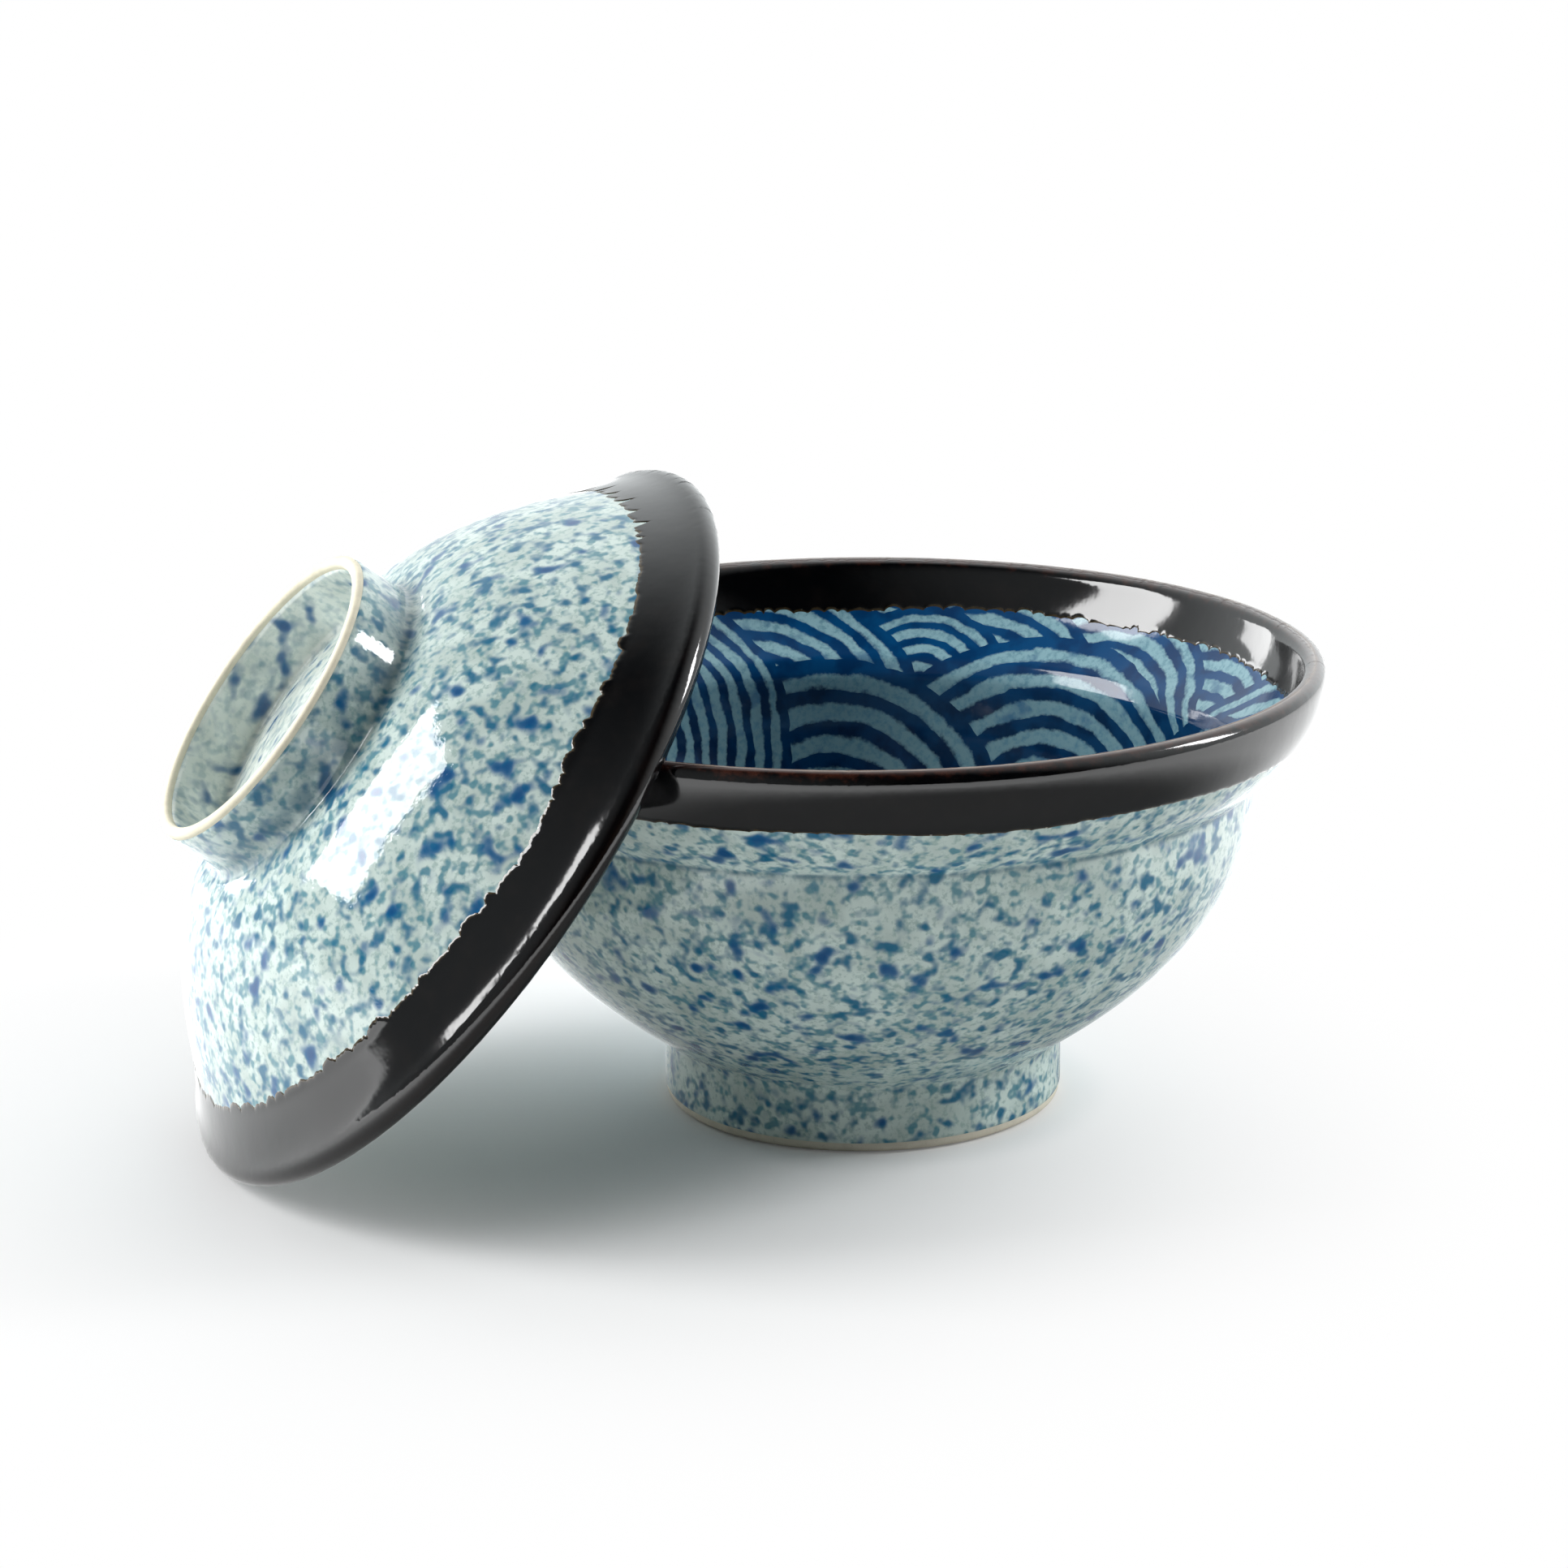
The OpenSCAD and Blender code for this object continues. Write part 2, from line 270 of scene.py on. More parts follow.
def turned(name, rows, body, material, stands_for, marks=()):
    """A piece turned on the wheel. rows holds, for each point of a closed outline and
    each angle round it, the radius and the height; radius times the angle's cosine and
    sine gives x and y. A row on the axis closes to one point. marks holds numbers for
    the same points, which the mesh keeps as attributes."""
    rows, marks = np.asarray(rows, float), dict(marks)
    if rows.ndim == 2:
        rows = np.repeat(rows[:, None], ROUND, 1)
    first = rows[:, 0]
    ahead = np.roll(first, -1, 0)
    if (first[:, 0] * ahead[:, 1] - ahead[:, 0] * first[:, 1]).sum() < 0:
        rows = rows[::-1]
        marks = {mark: values[::-1] for mark, values in marks.items()}
    count, around = rows.shape[:2]
    turn = np.arange(around) * 2 * np.pi / around
    at = np.stack([rows[..., 0] * np.cos(turn), rows[..., 0] * np.sin(turn),
                   rows[..., 1]], 2)
    pole = rows[..., 0].max(1) < 1e-6
    number = np.arange(count * around).reshape(count, around)
    number[pole] = number[pole][:, :1]
    a, d = number, np.roll(number, -1, 0)
    quads = np.stack([a, np.roll(a, -1, 1), np.roll(d, -1, 1), d], 2)
    below, over = pole, np.roll(pole, -1)
    four = quads[~below & ~over].reshape(-1, 4)
    three = np.vstack([quads[below & ~over][..., [0, 2, 3]].reshape(-1, 3),
                       quads[~below & over][..., [0, 1, 2]].reshape(-1, 3)])
    corners = np.concatenate([four.ravel(), three.ravel()])
    used, corners = np.unique(corners, return_inverse=True)
    starts = np.concatenate([np.arange(len(four)) * 4,
                             len(four) * 4 + np.arange(len(three)) * 3])
    place = at.reshape(-1, 3)[used]
    if body == "lid":
        place = leaning(place)
    mesh = bpy.data.meshes.new(name)
    mesh.vertices.add(len(used))
    mesh.vertices.foreach_set("co", (place / 1000).ravel())
    mesh.loops.add(len(corners))
    mesh.loops.foreach_set("vertex_index", corners)
    mesh.polygons.add(len(starts))
    mesh.polygons.foreach_set("loop_start", starts)
    mesh.update(calc_edges=True)
    mesh.validate()
    for mark, values in marks.items():
        layer = mesh.attributes.new(mark, "FLOAT", "POINT")
        layer.data.foreach_set("value", values.ravel()[used])
    mesh.shade_smooth()
    mesh.set_sharp_from_angle(angle=SHARP)
    mesh.materials.append(material)
    piece = bpy.data.objects.new(name, mesh)
    bpy.context.collection.objects.link(piece)
    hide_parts(stands_for)
    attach(piece, body)


foot_in, foot_out = FOOT_R - FOOT_T + COAT, FOOT_R - COAT
foot_rows = even(np.vstack([
    [[foot_out, FOOT_HOLLOW], [foot_in, FOOT_HOLLOW]],
    arc(foot_in + FOOT_EDGE, FOOT_EDGE, FOOT_EDGE, 180, 270),
    arc(foot_out - FOOT_EDGE, FOOT_EDGE, FOOT_EDGE, 270, 360),
    [[foot_out, FOOT_HOLLOW]]]), RING_STEP)[:-1]
turned("foot_ring", foot_rows, "bowl", clay, "bowl_foot_ring")

# Speckled glaze outside the bowl
# A pale grey celadon laid over the whole outside, with olive grains, teal flecks and
# cobalt blots that ran a little while the glaze was molten. It pools blue in the waist.
BAND_Z = 70.3            # where the dark band starts outside and inside
UNDER = 0.16             # how far the pale glazes lie below the dark one
LAP = 2.5                # how far they run on beneath it
BACK = COAT - 0.02       # depth of a coat's inner face, just clear of the clay
FEATHER = 0.7            # how far from its edge a coat starts to thin
FACE_STEP, BACK_STEP = 0.62, 3.2    # spacing of the points on its outer and inner face


def shell(line, start, end, bends=()):
    """Closed outline of a pale coat along part of a line, with its inner face behind
    the outer one, and both drawn together over the last few tenths of a millimetre by
    a square. Points lie closer at the edges and round the places of tight bends."""
    edge = np.linspace(0, FEATHER, 7)[:-1]
    at = [start + edge, end - edge,
          np.linspace(start + FEATHER, end - FEATHER, int((end - start) / FACE_STEP))]
    back = [np.linspace(start, end, int((end - start) / BACK_STEP) + 2)]
    for bend in bends:
        at.append(bend + np.linspace(-2, 2, 13))
        back.append(bend + np.linspace(-3, 3, 9))
    at, back = np.unique(np.concatenate(at)), np.unique(np.concatenate(back))[::-1]
    to_axis = end >= line.length - 0.1
    near = at - start if to_axis else np.minimum(at - start, end - at)
    top = UNDER + (BACK - 0.01 - UNDER) * np.clip(1 - near / FEATHER, 0, 1) ** 2
    outer, inner = np.stack(line.at(at, top), 1), np.stack(line.at(back, BACK), 1)
    if to_axis:
        outer[-1, 0] = inner[0, 0] = 0
    return np.vstack([outer, inner]), np.append(at, back)


# The marks in the glaze: shift of their noise, size in millimetres, detail, roughness,
# the levels where a mark starts and where it is full, its strength, and its colour
MARKS = [(0, 1.1, 2.0, 0.6, 0.48, 0.68, 0.5, (128, 164, 160)),     # grains
         (20, 2.0, 1.0, 0.5, 0.48, 0.7, 0.8, (48, 126, 146)),      # flecks
         (40, 2.9, 1.0, 0.45, 0.51, 0.73, 0.95, (18, 104, 140))]   # teal spots


def speckle_material(name, seed, marked=1.0, pale=(206, 222, 216)):
    """Pale glaze with a faint haze, three layers of marks whose strength is scaled by
    marked, cobalt blots with darker hearts, and blue where the glaze gathers thick, which
    round the lid's grip ring is also painted shade. A layer is where cloudy noise rises
    over a threshold with soft edges."""
    glaze = Recipe(name, Roughness=0.06, IOR=1.55)
    place = glaze.place(seed)
    haze = glaze.step(glaze.noise(place, 9, 3), 0.35, 0.68)
    colour = glaze.blend(haze, paint(*(min(c + 10, 245) for c in pale)),
                         paint(*(c - 16 for c in pale)))
    for shift, size, detail, rough, low, high, share, tint in MARKS:
        mark = glaze.noise(glaze.place(seed + shift), size, detail, rough)
        colour = glaze.blend(glaze.step(mark, low, high, share * marked), colour,
                             paint(*tint))
    blots = glaze.noise(glaze.place(seed + 90), 4.2, 0.8, 0.4)
    colour = glaze.blend(glaze.step(blots, 0.58, 0.74, 0.9), colour, paint(0, 94, 146))
    colour = glaze.blend(glaze.step(blots, 0.68, 0.8, 0.9), colour, paint(0, 76, 132))
    pool_and_shade = glaze.add("Attribute", attribute_name="pool_and_shade", out="Fac")
    pool_and_shade = glaze.math("MULTIPLY", pool_and_shade, glaze.step(glaze.noise(place, 4, 3), 0.3, 0.6))
    # Blue where the glaze gathers thick; round the lid's grip ring it is also painted
    # shade
    colour = glaze.blend(pool_and_shade, colour, paint(40, 98, 122))
    ripple = glaze.noise(place, 3.0, 3, 0.55)
    return glaze.finish(colour, glaze.relief(ripple, 0.06))


def pooled_and_shaded(far, middle, reach, share):
    """How thickly the glaze gathers, and on the lid's ring also painted shade: a bell
    curve along the outline round its middle, the same at every angle."""
    bell = share * np.exp(-((far - middle) / reach) ** 2)
    return {"pool_and_shade": np.repeat(bell[:, None], ROUND, 1)}


bowl_speckle = speckle_material("speckled_glaze_bowl", 3.0)
band_out, band_in = (bowl_line.nearest(*flare(np.array([BAND_Z]), depth)[0])
                     for depth in (0, WALL))
waist_at = bowl_line.nearest(WAIST_R, WAIST_Z)
root_at = bowl_line.nearest(FOOT_R, FOOT_TOP)
outer_rows, outer_far = shell(bowl_line, FOOT_BARE, band_out + LAP, (root_at, waist_at))
turned("speckled_outside", outer_rows, "bowl", bowl_speckle,
       "bowl_outer_glaze", pooled_and_shaded(outer_far, waist_at, 0.55, 0.75))

# Glaze in the hollow of the foot
# A thin pale celadon, poured in and swirled round before the foot was wiped clean. The
# normals of its line point into the clay, so the depth of its back is negative.
hollow_r = FOOT_R - FOOT_T
hollow_line = Outline([[hollow_r, FOOT_BARE], [hollow_r, FOOT_HOLLOW - COAT],
                       [0, FOOT_HOLLOW - COAT]])


def pale_material(name):
    """Plain celadon with faint clouds, a few olive grains and a soft ripple."""
    glaze = Recipe(name, Roughness=0.12, IOR=1.5)
    place = glaze.place()
    colour = glaze.blend(glaze.step(glaze.noise(place, 12, 3), 0.35, 0.7),
                         paint(206, 212, 203), paint(184, 200, 194))
    grains = glaze.step(glaze.noise(place, 1.3, 2, 0.6), 0.6, 0.72, 0.4)
    colour = glaze.blend(grains, colour, paint(136, 148, 138))
    return glaze.finish(colour, glaze.relief(glaze.noise(place, 4, 3), 0.05))


def even_coat(line, count, face, back):
    """Closed outline of a coat between two depths along a whole line, with count points
    on each side."""
    at = np.linspace(0, line.length, count)
    return np.vstack([np.stack(line.at(at, face), 1),
                      np.stack(line.at(at, back), 1)[::-1]])


pale = pale_material("pale_glaze")
turned("foot_hollow_glaze", even_coat(hollow_line, 70, 0.0, -BACK), "bowl",
       pale, "bowl_base_glaze")

# Painted waves inside the bowl
# Cobalt brushwork under a clear glaze: overlapping fans, each of rings round one middle,
# as on old wave cloth. The painter worked from the brim down, and the floor came last.
FLOOR_FAN_R = 26         # how far the middles of the floor's fans lie from the axis
# A fan is its middle's angle and height, its radius, and the spacing of its rings
BRIM_FANS = [(turn, 50.0, 30.0, 4.1) for turn in range(5, 365, 24)]
WALL_FANS = [(turn, 33.0, 36.0, 5.5) for turn in (348, 310, 272, 234, 196, 158)]
SEEN_FANS = [(61.5, 58.5, 17.5, 3.6), (90.4, 50.0, 34.0, 4.4), (38.0, 35.0, 38.0, 5.3),
             (77.0, 33.0, 33.5, 5.9), (120.2, 52.0, 41.5, 3.6)]    # those in the photo
FLOOR_FANS = [(turn, 17.5, 38.0, 5.3) for turn in range(35, 360, 45)]


def fan_middle(turn, height):
    """Point on the bowl's inner side at an angle in degrees and a height."""
    inside = bowl_line.points[bowl_line.far > bowl_line.nearest(RIM_R - LIP_R, BOWL_H)]
    radius = np.interp(height, inside[::-1, 1], inside[::-1, 0])
    if height < FLOOR_Z + 1:
        radius = FLOOR_FAN_R
    turn = np.radians(turn)
    return radius * np.cos(turn), radius * np.sin(turn), height


def wave_material(name):
    """Each fan's edge distance is its radius less the distance to its middle. Fans are
    laid one over another; the edge distance of the fan on top, counted in rings, gives
    the brush lines, whose edges and paleness noise disturbs."""
    glaze = Recipe(name, Roughness=0.1, IOR=1.45)
    place = glaze.place()
    shake = glaze.add("TexNoise", Vector=place, Scale=1 / 6, Detail=3.0, out="Color")
    shake = glaze.add("VectorMath", shake, (0.5, 0.5, 0.5), operation="SUBTRACT", out=0)
    shake = glaze.add("VectorMath", shake, operation="SCALE", Scale=2.0, out=0)
    drawn = glaze.add("VectorMath", place, shake, operation="ADD", out=0)
    rings = None
    for turn, height, radius, pitch in BRIM_FANS + WALL_FANS + SEEN_FANS + FLOOR_FANS:
        apart = glaze.distance(drawn, fan_middle(turn, height))
        count = glaze.math("MULTIPLY_ADD", apart, -1 / pitch, radius / pitch)
        if rings is None:
            rings = count
        else:
            inside = glaze.math("GREATER_THAN", count, 0.0)
            rings = glaze.add("Mix", inside, None, rings, count, data_type="FLOAT", out=0)
    phase = glaze.math("FRACT", rings)
    pressed = glaze.math("MULTIPLY_ADD", glaze.noise(place, 7.0, 2), 0.24, -0.12)
    frayed = glaze.math("MULTIPLY_ADD", glaze.noise(place, 0.9, 2, 0.6), 0.16, -0.08)
    outer = glaze.step(rings, 1.0, 0.8, 0.07)
    wide = glaze.math("ABSOLUTE", glaze.math("SUBTRACT", phase, 0.71))
    for push in (pressed, frayed, outer):
        wide = glaze.math("ADD", wide, push)
    water = glaze.step(wide, 0.33, 0.19)
    # Below the brim the blue and the wash are painted darker: painted shade where the
    # light falls off in the well
    brim = glaze.step(glaze.add("SeparateXYZ", place, out=2), 56.0, 66.0)
    deep = glaze.step(glaze.noise(place, 7, 3), 0.4, 0.62, 0.8)
    blue = glaze.blend(deep, glaze.blend(brim, paint(10, 60, 102), paint(10, 80, 134)),
                       glaze.blend(brim, paint(4, 34, 68), paint(6, 56, 104)))
    wash = glaze.blend(brim, paint(132, 170, 180), paint(158, 200, 210))
    streak = glaze.step(glaze.noise(place, 1.3, 3, 0.65), 0.42, 0.72, 0.7)
    wash = glaze.blend(streak, wash, paint(92, 142, 164))
    thin = glaze.step(glaze.noise(place, 5.5, 3), 0.56, 0.72, 0.6)
    wash = glaze.blend(thin, wash, paint(36, 96, 144))
    colour = glaze.blend(water, blue, wash)
    ripple = glaze.noise(place, 3.5, 3, 0.55)
    return glaze.finish(colour, glaze.relief(ripple, 0.05))


inner_rows, _ = shell(bowl_line, band_in - LAP, bowl_line.length)
turned("wave_painting", inner_rows, "bowl", wave_material("wave_glaze"),
       "bowl_inner_glaze")

# Dark band round the bowl's rim
# Black iron glaze, dipped upside down over the other two. It breaks to amber where it
# thins on the lip, and its edges are bitten by the pale glaze beneath.
AROUND = 1440            # points round the rim
BEAD = 0.9               # width of the swollen bead along its edges
OPEN_REACH = 11.0        # how far inside the lip the glaze leans open


def bites(turn, radius, spread, deep, seed):
    """Scalloped offset of a glaze edge in millimetres: between points set spread apart
    the edge bulges by deep times the 0.6 power of a parabola, with a cusp at each."""
    draw = np.random.default_rng(seed)
    count = int(2 * np.pi * radius / np.mean(spread))
    cuts = np.cumsum(draw.uniform(*spread, count))
    cuts *= 2 * np.pi / cuts[-1]
    lobe = draw.uniform(0.25, 1.0, count) ** 1.3 * deep
    k = np.searchsorted(cuts, turn % (2 * np.pi))
    low = np.append(0, cuts)[k]
    share = 2 * (turn % (2 * np.pi) - low) / (cuts[k] - low) - 1
    return lobe[k] * (1 - share ** 2) ** 0.6


def sway(turn, heights, seed):
    """Slow waves round the rim: a few cosines with random starts."""
    draw = np.random.default_rng(seed)
    starts = draw.uniform(0, 2 * np.pi, len(heights))
    return sum(h * np.cos((2 + 3 * k) * turn + s)
               for k, (h, s) in enumerate(zip(heights, starts)))


def dark_band(line, first, last, lip):
    """Rows of a coat between two wandering edges: each angle has its own stretch of the
    line, with more points near both edges, where the coat swells to a small bead and
    then drops. Marks give the distance from the nearest edge and from the lip."""
    share = 0.5 - 0.5 * np.cos(np.linspace(0, np.pi, 46))
    at = first + (last - first) * share[:, None]
    near = np.minimum(at - first, last - at)
    depth = UNDER * np.clip(1 - near / BEAD, 0, 1) ** 2
    outer = np.stack(line.at(at, depth), 2)
    under = np.linspace(0.004, 0.996, 12)
    inner_at = last + (first - last) * under[:, None]
    inner = np.stack(line.at(inner_at, BACK + 0.01), 2)
    edge = np.concatenate([near, np.full_like(inner_at, 9)])
    far = np.concatenate([at, inner_at]) - lip
    return np.concatenate([outer, inner]), {"edge": edge, "lip": far}


def iron_material(name, seed, amber=1.0, open_lip=0.0):
    """Near-black glaze with faint clouds, amber and duller along the lip, and tiny pale
    pinholes at the edge. Inside the lip the relief falls by open_lip times the distance
    less a share of its square, so that the glaze leans open as it thins towards it."""
    glaze = Recipe(name, IOR=1.62)
    place = glaze.place(seed)
    edge = glaze.add("Attribute", attribute_name="edge", out="Fac")
    inward = glaze.add("Attribute", attribute_name="lip", out="Fac")
    lip = glaze.math("ABSOLUTE", inward)
    cloud = glaze.step(glaze.noise(place, 5, 4, 0.65), 0.45, 0.75)
    colour = glaze.blend(cloud, paint(7, 8, 10), paint(17, 15, 15))
    break_at = glaze.math("MULTIPLY_ADD", glaze.noise(place, 2.6, 4, 0.7), -5.5, 4.2)
    thin = glaze.step(glaze.math("SUBTRACT", lip, break_at), 0.9, -0.9, 0.85 * amber)
    colour = glaze.blend(thin, colour, paint(66, 34, 24))
    crest = glaze.math("MULTIPLY_ADD", glaze.noise(place, 4, 3), -1.5, 1.0)
    gold = glaze.step(glaze.math("SUBTRACT", lip, crest), 0.3, -0.2, 0.4 * amber)
    colour = glaze.blend(gold, colour, paint(138, 108, 78))
    olive = glaze.step(glaze.math("SUBTRACT", edge, glaze.noise(place, 1.4, 3)), 0.12,
                       -0.4, 0.9)
    colour = glaze.blend(olive, colour, paint(76, 64, 44))
    dot = glaze.add("TexVoronoi", Vector=place, Scale=1 / 1.6, out="Distance")
    rim_dots = glaze.math("MULTIPLY", glaze.step(dot, 0.2, 0.12, 0.7),
                          glaze.step(edge, 0.6, 0.1))
    colour = glaze.blend(rim_dots, colour, paint(205, 205, 196))
    inward = glaze.math("MINIMUM", glaze.math("MAXIMUM", inward, 0.0), OPEN_REACH)
    fall = glaze.math("MULTIPLY_ADD", inward, -0.5 / OPEN_REACH, 1.0)
    fall = glaze.math("MULTIPLY", inward, fall)
    ripple = glaze.math("MULTIPLY", glaze.noise(place, 6, 3), 0.05)
    height = glaze.math("MULTIPLY_ADD", fall, open_lip, ripple)
    dull = glaze.math("MULTIPLY_ADD", thin, 0.1, 0.09)
    return glaze.finish(colour, glaze.relief(height, 1.0), dull)


turn = np.arange(AROUND) * 2 * np.pi / AROUND
first = (band_out + sway(turn, (0.35, 0.3, 0.2, 0.15), 5)
         + bites(turn, 76, (2.2, 5.0), 0.5, 6))
last = (band_in + sway(turn, (0.3, 0.3, 0.25), 8) - bites(turn, 73, (1.6, 4.2), 1.1, 9)
        + 0.5)
lip_at = bowl_line.nearest(RIM_R - LIP_R, BOWL_H)
band_rows, band_marks = dark_band(bowl_line, first, last, lip_at)
turned("dark_rim", band_rows, "bowl",
       iron_material("iron_glaze_bowl", 7.0, 1.0, 0.45), "bowl_rim_glaze", band_marks)

# Clay body of the lid
# A dome of the same clay with a sloping brim, leaning on the bowl with its edge on the
# table. In its own frame the middle of its rounded edge is at height zero.
LEAN = np.radians(52.2)
LEAN_X, LEAN_Z = 76.0657, 57.7508
LID_R, LID_WALL = 69.924, 5.0
EDGE_R = LID_WALL / 2
BRIM_W, BRIM_TILT = 8.2, np.radians(38)
BRIM_SAG = 0.3           # how far the middle of the brim lies below a straight slope
BRIM_IN = 0.35           # share of the brim's width that the glaze inside leaves free
LID_TOP = 41.2           # top of the grip ring
SHOULDER_Z = 29.8
GRIP_R, GRIP_T, GRIP_FILLET, GRIP_IN_FILLET = 28.8, 3.0, 1.6, 1.2
DOME_POWER = 1.7


def leaning(at):
    """Points of the upright lid turned back about Y by the lean and set in place."""
    x, y, z = at.T
    return np.stack([x * np.cos(LEAN) - z * np.sin(LEAN) - LEAN_X, y,
                     x * np.sin(LEAN) + z * np.cos(LEAN) + LEAN_Z], 1)


def brim(share, depth):
    """Point on the brim, a share of its width in from the edge circle."""
    return [LID_R - share * BRIM_W + (EDGE_R - depth) * np.sin(BRIM_TILT),
            share * BRIM_W * np.tan(BRIM_TILT) + (EDGE_R - depth) * np.cos(BRIM_TILT)]


def dome(depth):
    """Dome from the grip ring out to the crease: height falls by a power of the way
    out; each point is moved in by depth along its normal."""
    start, (end, low) = GRIP_R + GRIP_FILLET, brim(1, 0)
    way = np.linspace(0, 1, 120)
    rise = SHOULDER_Z - low
    turn = np.arctan(DOME_POWER * rise / (end - start) * way ** (DOME_POWER - 1))
    r = start + (end - start) * way
    z = low + rise * (1 - way ** DOME_POWER)
    return np.stack([r - depth * np.sin(turn), z - depth * np.cos(turn)], 1)


grip_fillet = arc(GRIP_R + GRIP_FILLET, SHOULDER_Z + GRIP_FILLET, GRIP_FILLET, 180, 270)
tilt = np.degrees(BRIM_TILT)
way = np.linspace(0, 1, 40)
hollow_brim = np.stack(brim(way, BRIM_SAG * np.sin(np.pi * way ** 0.6) ** 1.3), 1)
lid_line = Outline([brim(1, LID_WALL)], arc(LID_R, 0, EDGE_R, 270 - tilt - 360, 90 - tilt),
                   hollow_brim, dome(0)[::-1], grip_fillet[::-1], [[GRIP_R, LID_TOP]])
lid_in_line = Outline([[0, SHOULDER_Z - LID_WALL]], dome(LID_WALL)[:-3],
                      [brim(1, LID_WALL), brim(BRIM_IN, LID_WALL)])
dome_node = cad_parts["lid_dome"]
dome_node.data.materials.clear()
dome_node.data.materials.append(clay)

# Grip ring of the lid
# The ring by which the lid is lifted, with a lip of bare cream clay that stands clear of
# the glaze, because the lid was fired upside down on it.
GRIP_EDGE = 0.62         # radius of the lip's edges
GRIP_BARE = 1.2          # height of the bare clay
grip_in = GRIP_R - GRIP_T
in_r, out_r = grip_in + COAT, GRIP_R - COAT
top = LID_TOP - GRIP_EDGE
grip_rows = even(np.vstack([
    arc(GRIP_R + GRIP_FILLET, SHOULDER_Z + GRIP_FILLET, GRIP_FILLET + COAT, 270, 180),
    arc(out_r - GRIP_EDGE, top, GRIP_EDGE, 0, 90),
    arc(in_r + GRIP_EDGE, top, GRIP_EDGE, 90, 180),
    arc(grip_in - GRIP_IN_FILLET, SHOULDER_Z + GRIP_IN_FILLET, GRIP_IN_FILLET + COAT, 0,
        -90),
    [[GRIP_R + GRIP_FILLET, SHOULDER_Z - COAT]]]), RING_STEP)[:-1]
lip_clay = clay_material("cream_clay", (240, 232, 208))
turned("grip_ring", grip_rows, "lid", lip_clay, "lid_grip_ring")

# Speckled glaze outside the lid and in its grip ring
# The same pale glaze as on the bowl, thicker in the hollow where ring and dome meet,
# where its blue also spreads up the ring's side as painted shade.
# Inside the ring it is painted paler and less marked, as painted light on the recess,
# on a floor that swells up a little.
RECESS_RISE = 3.0        # how far that floor swells up at its middle
lid_speckle = speckle_material("speckled_glaze_lid", 61.0)
# A paler, less marked copy of the lid's glaze: painted light for the bright recess
lit_recess_speckle = speckle_material("speckled_glaze_recess", 83.0, 0.42, (228, 236, 228))
crease_at = lid_line.nearest(*brim(1, 0))
glaze_top = lid_line.nearest(GRIP_R, LID_TOP - GRIP_BARE)
fillet_at = lid_line.nearest(GRIP_R, SHOULDER_Z + 1.5 * GRIP_FILLET)
dome_rows, dome_far = shell(lid_line, crease_at - LAP - 1.5, glaze_top,
                            (crease_at, fillet_at))
# The broad blue band round the ring's foot is partly glaze gathered in the hollow and
# partly painted shade on the ring's lower side
turned("speckled_lid", dome_rows, "lid", lid_speckle,
       "lid_outer_glaze", pooled_and_shaded(dome_far, fillet_at, 3.6, 0.7))
flat = grip_in - GRIP_IN_FILLET
across = np.linspace(1, 0, 40)
bulge = np.stack([flat * across, SHOULDER_Z + RECESS_RISE * (1 - across ** 2)], 1)
recess_line = Outline(
    [[grip_in, LID_TOP - GRIP_BARE]],
    arc(flat, SHOULDER_Z + GRIP_IN_FILLET, GRIP_IN_FILLET, 0, -90), bulge)
recess_at = np.linspace(0, recess_line.length, 95)
recess_top = (BACK - 0.03) * np.clip(1 - recess_at / FEATHER, 0, 1) ** 2
recess_outer = np.stack(recess_line.at(recess_at, recess_top), 1)
recess_inner = np.stack(recess_line.at(recess_at, BACK), 1)
recess_inner[:, 1] = np.where(recess_inner[:, 0] < flat, SHOULDER_Z - BACK,
                              recess_inner[:, 1])
turned("speckled_recess", np.vstack([recess_outer, recess_inner[::-1]]), "lid",
       lit_recess_speckle, "lid_recess_glaze")

# Glaze inside the lid
# The plain pale celadon again, poured inside the dome and swirled out over the brim. The
# photo doesn't show it, so it is an even coat.
turned("pale_inside_lid", even_coat(lid_in_line, 105, 0.02, BACK), "lid",
       pale, "lid_inner_glaze")

# Dark band round the lid's brim
# The same iron glaze over the whole brim, above and below. Outside, the pale glaze bites
# deep, pointed notches into it, and a few pale runs reach further over it.
RUNS = [(15, 1.0, 2.4), (9.5, 0.9, 3.4), (3.5, 0.8, 2.2), (-3, 0.9, 3.2), (-9, 0.8, 1.8),
        (-14.5, 0.9, 2.8), (-19.5, 0.7, 1.4)]    # angle, half width, length
lid_lip = lid_line.nearest(LID_R + EDGE_R, 0)
off = (np.degrees(turn) + 180) % 360 - 180
run = sum(long * np.clip(1 - np.abs(off - at) / half, 0, 1) for at, half, long in RUNS)
lid_last = (crease_at + 0.4 - run + sway(turn, (0.3, 0.35, 0.3, 0.25), 15)
            + bites(turn, 63, (1.6, 6.5), 1.5, 16) + bites(turn, 63, (0.8, 1.9), 0.35, 17))
lid_first = 0.3 + np.abs(sway(turn, (0.3, 0.3), 18)) + bites(turn, 62, (3, 7), 0.6, 19)
lid_band_rows, lid_band_marks = dark_band(lid_line, lid_first, lid_last, lid_lip)
turned("dark_lid_rim", lid_band_rows, "lid",
       iron_material("iron_glaze_lid", 31.0, 0.04), "lid_rim_glaze", lid_band_marks)

# Table and backdrop
# A white seamless sweep; close to the bowl it shows the soft shadow, further off it
# fades to plain white. In the glaze's reflections only, it is painted dark in front of
# the bowl as painted shade, and glows white behind as painted light.
TABLE_SIZE = 6.0         # metres, as all that follows
TABLE_DROP = 0.0002      # how far it lies below the foot
WHITE = (1, 1, 1, 1)
# For reflections only: painted shade darkens the paper round FRONT_SPOT, and a painted
# glow lights it further off
FRONT_SPOT = (0.0, -0.13, 0.0)        # round here the glaze sees it dark
PAPER, PAPER_SHADE = 0.865, 0.56       # its grey, and how much of it is lost there
SHADE_SPOT = (-0.06, -0.002, 0.0)     # middle of the shadow, under the lid

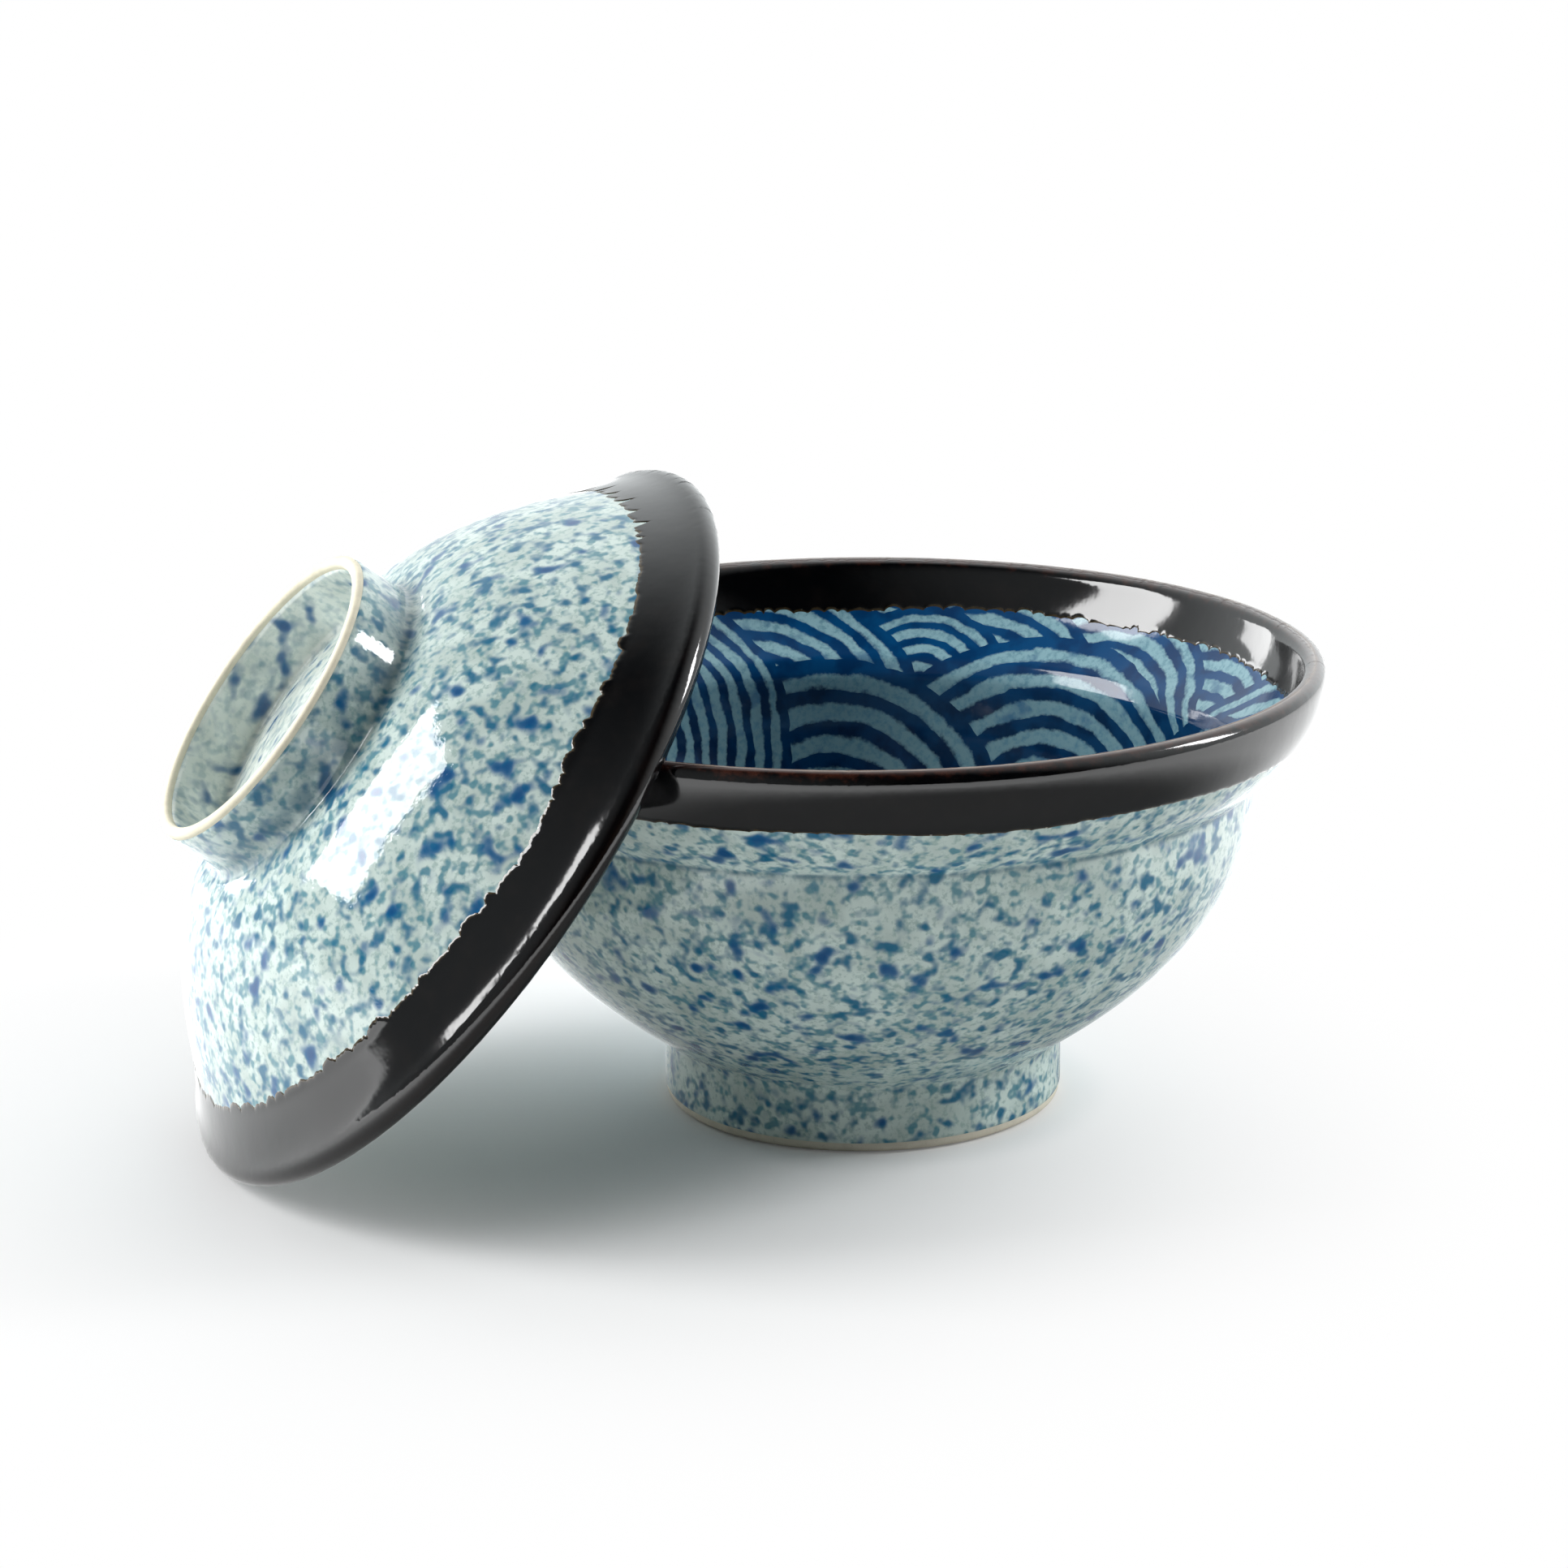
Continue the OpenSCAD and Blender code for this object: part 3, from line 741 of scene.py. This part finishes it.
bpy.ops.mesh.primitive_plane_add(size=TABLE_SIZE, location=(0, 0, -TABLE_DROP))
table = bpy.context.object
table.name = "table"
sweep = Nodes(bpy.data.materials.new("white_sweep"))
ray = sweep.add("LightPath")
mirrored, seen = ray.outputs["Is Glossy Ray"], ray.outputs["Is Camera Ray"]
spot = sweep.add("TexCoord", out="Object")
behind = sweep.step(sweep.distance(spot, FRONT_SPOT), 0.1, 0.24)
# Painted shade on the paper in front of the bowl and a painted white glow further off,
# both seen only by glossy rays
front_shade = sweep.math("MULTIPLY", sweep.math("SUBTRACT", 1.0, behind), mirrored)
grey = sweep.math("MULTIPLY_ADD", front_shade, -PAPER_SHADE, PAPER)
painted_glow = sweep.add("Emission", WHITE, sweep.math("MULTIPLY", behind, mirrored), out=0)
lit = sweep.add("AddShader", sweep.add("BsdfDiffuse", grey, out=0), painted_glow, out=0)
clear = sweep.step(sweep.distance(spot, SHADE_SPOT), 0.015, 0.175)
foot = sweep.step(sweep.distance(spot, (0, 0, 0)), 0.036, 0.047, 1.0, 0.45)
clear = sweep.math("MULTIPLY", sweep.math("MULTIPLY", clear, foot), seen)
glow = sweep.add("Emission", WHITE, 1.0, out=0)
sweep.add("OutputMaterial", sweep.add("MixShader", clear, lit, glow, out=0))
table.data.materials.append(sweep.holder)

# Lights
# Soft panels for the windows: a large one at the left, a small low one behind the bowl
# and a narrow one at the right. The world is a pale room, and white for the camera.

# The room's bright walls: direction, the cosines where one starts and is full, strength
WALLS = [((0, 1, 0), 0.1, 0.9, 1.1), ((-1, 0, 0), 0.1, 0.9, 0.25),
         ((0.9, 0.2, 0.39), 0.3, 1.0, 1.0)]
studio = Nodes(bpy.data.worlds.new("studio"))
bpy.context.scene.world = studio.holder
direction = studio.add("TexCoord", out="Generated")
room = 0.0
for towards, low, high, strength in WALLS:
    facing = studio.add("VectorMath", direction, towards, operation="DOT_PRODUCT",
                        out="Value")
    room = studio.math("ADD", room, studio.step(facing, low, high, strength))
dim = studio.add("Background", (0.95, 0.99, 1, 1), room, out=0)
white = studio.add("Background", WHITE, 1.0, out=0)
seen = studio.add("LightPath", out="Is Camera Ray")
studio.add("OutputWorld", studio.add("MixShader", seen, dim, white, out=0))


def panel(name, heading, height, far, wide, tall, watts):
    """A soft rectangular light, far metres from the bowl in the direction given by its
    heading from +Y towards +X and its height, in degrees, facing the bowl."""
    turn, rise = np.radians((heading, height))
    out = Vector((np.sin(turn) * np.cos(rise), np.cos(turn) * np.cos(rise), np.sin(rise)))
    lamp = bpy.data.lights.new(name, "AREA")
    lamp.shape = "RECTANGLE"
    lamp.size, lamp.size_y, lamp.energy = wide, tall, watts
    holder = bpy.data.objects.new(name, lamp)
    holder.matrix_world = (Matrix.Translation(out * far + Vector((0, 0, 0.05)))
                           @ out.to_track_quat("Z", "Y").to_matrix().to_4x4())
    bpy.context.collection.objects.link(holder)


panel("left_window", -76, 29.5, 1.4, 0.6, 0.84, 18.0)
panel("far_window", -27, 9, 1.4, 0.36, 0.3, 2.0)
panel("right_window", 102, 29, 1.3, 0.22, 0.5, 8.0)

bpy.context.scene.view_settings.view_transform = "Standard"
